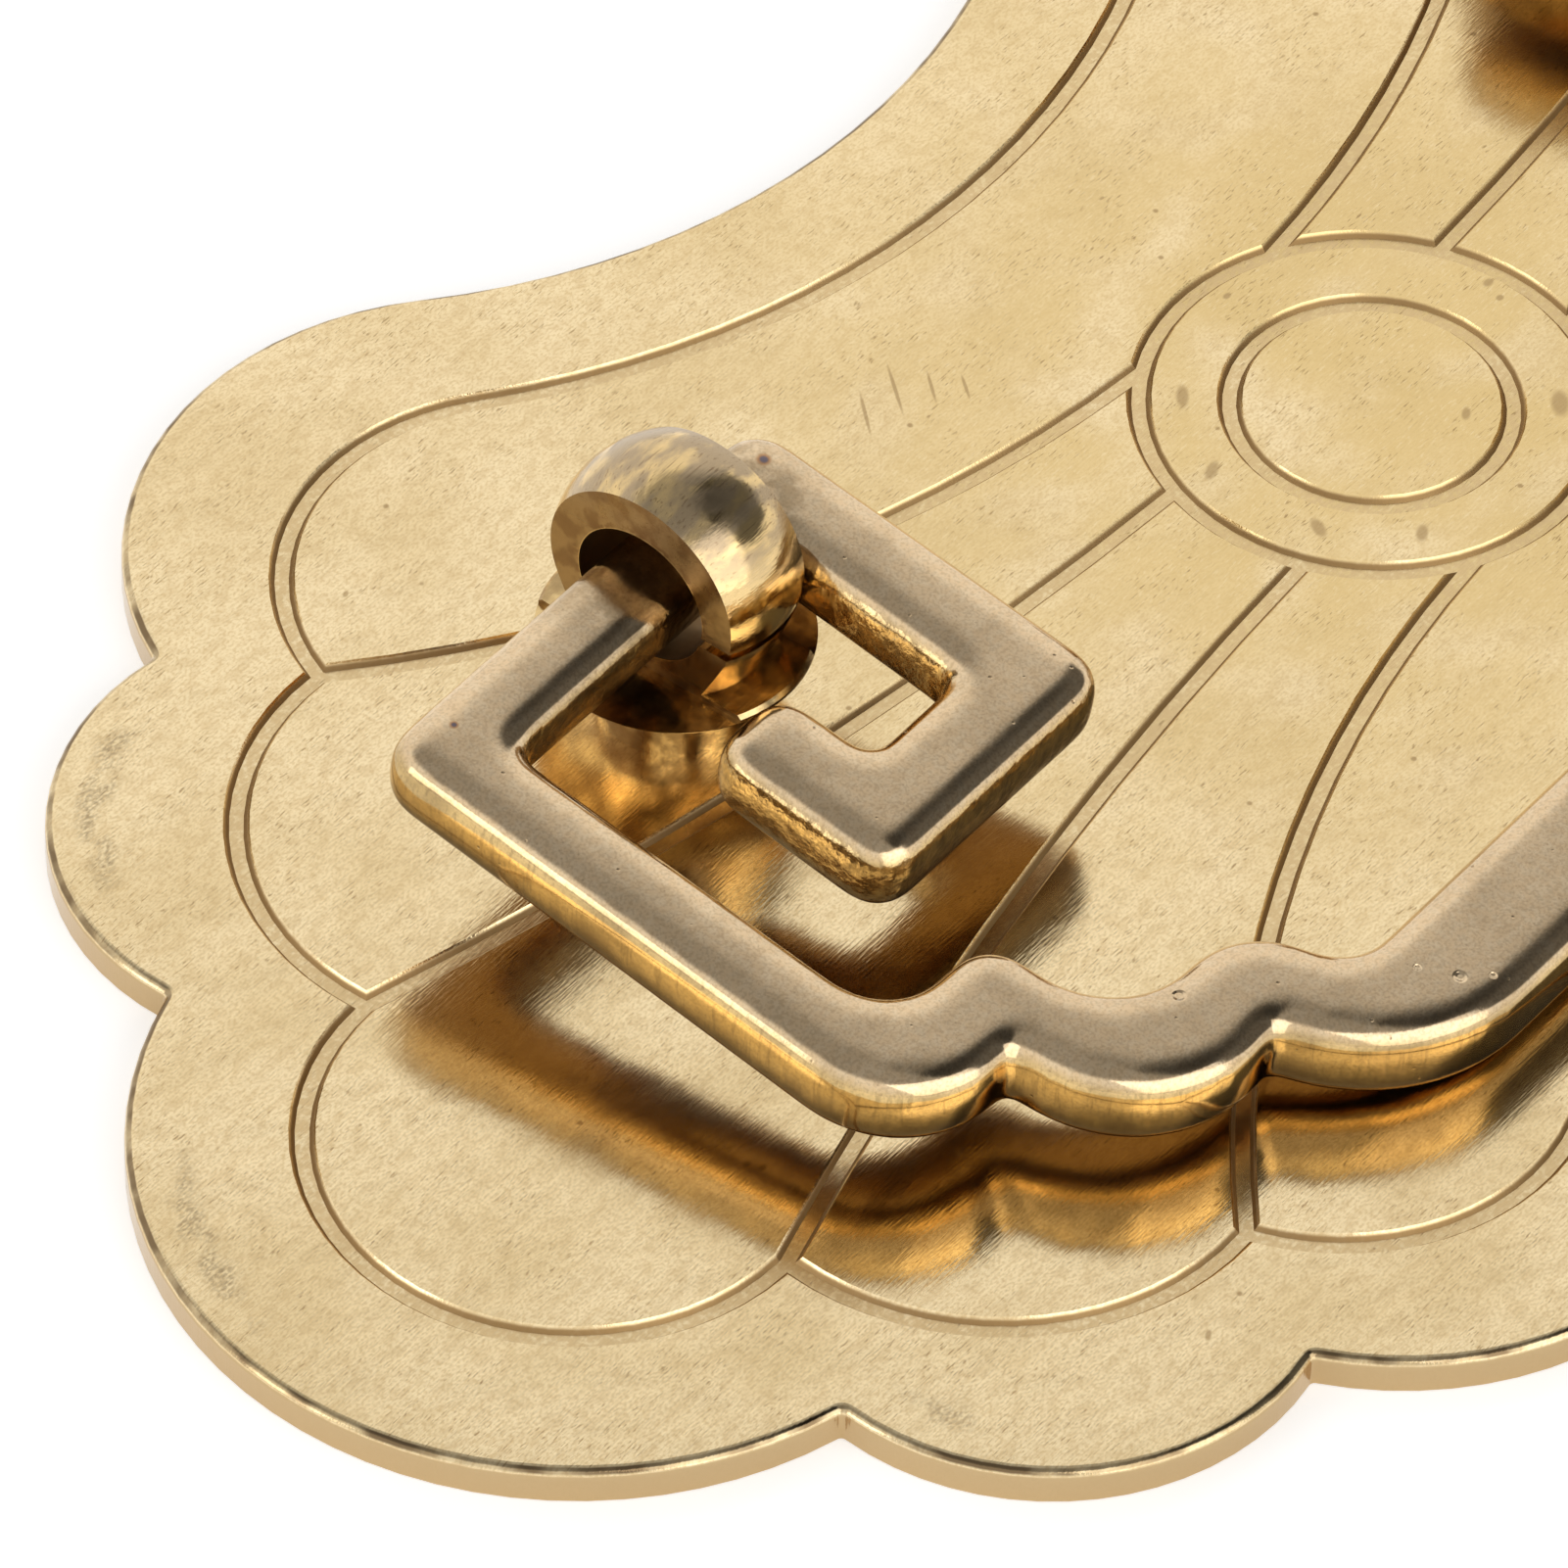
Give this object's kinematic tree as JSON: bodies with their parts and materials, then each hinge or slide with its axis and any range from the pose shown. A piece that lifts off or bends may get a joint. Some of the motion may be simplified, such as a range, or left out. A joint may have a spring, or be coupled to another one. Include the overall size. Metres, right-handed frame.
{
  "type": "drawer pull",
  "caption": "Brass drawer pull: scalloped engraved back plate, turned eye posts and a swinging bail with square key ends and a stepped, scalloped grip.",
  "frame": {"origin": "midway between the two screw holes, on the flat back face of the plate", "axes": "+X along the pivot line and the plate's length, +Y towards the top of the mounted pull, +Z out of the drawer front"},
  "size_m": [0.1696, 0.0918, 0.0182],
  "materials": {
    "plate_brass": "brushed, lightly tarnished",
    "post_brass": "polished, worn",
    "bail_brass": "tumbled, worn, greyed on top"
  },
  "bodies": {
    "plate": {"back_plate": "plate_brass", "left_post": "post_brass", "right_post": "post_brass"},
    "bail": {"bail": "bail_brass"}
  },
  "joints": [
    {"name": "bail_swing", "type": "hinge", "parent": "plate", "child": "bail", "pos_m": [0, 0, 0.0115], "axis": [-1, 0, 0], "range_deg": [0, 180]}
  ]
}
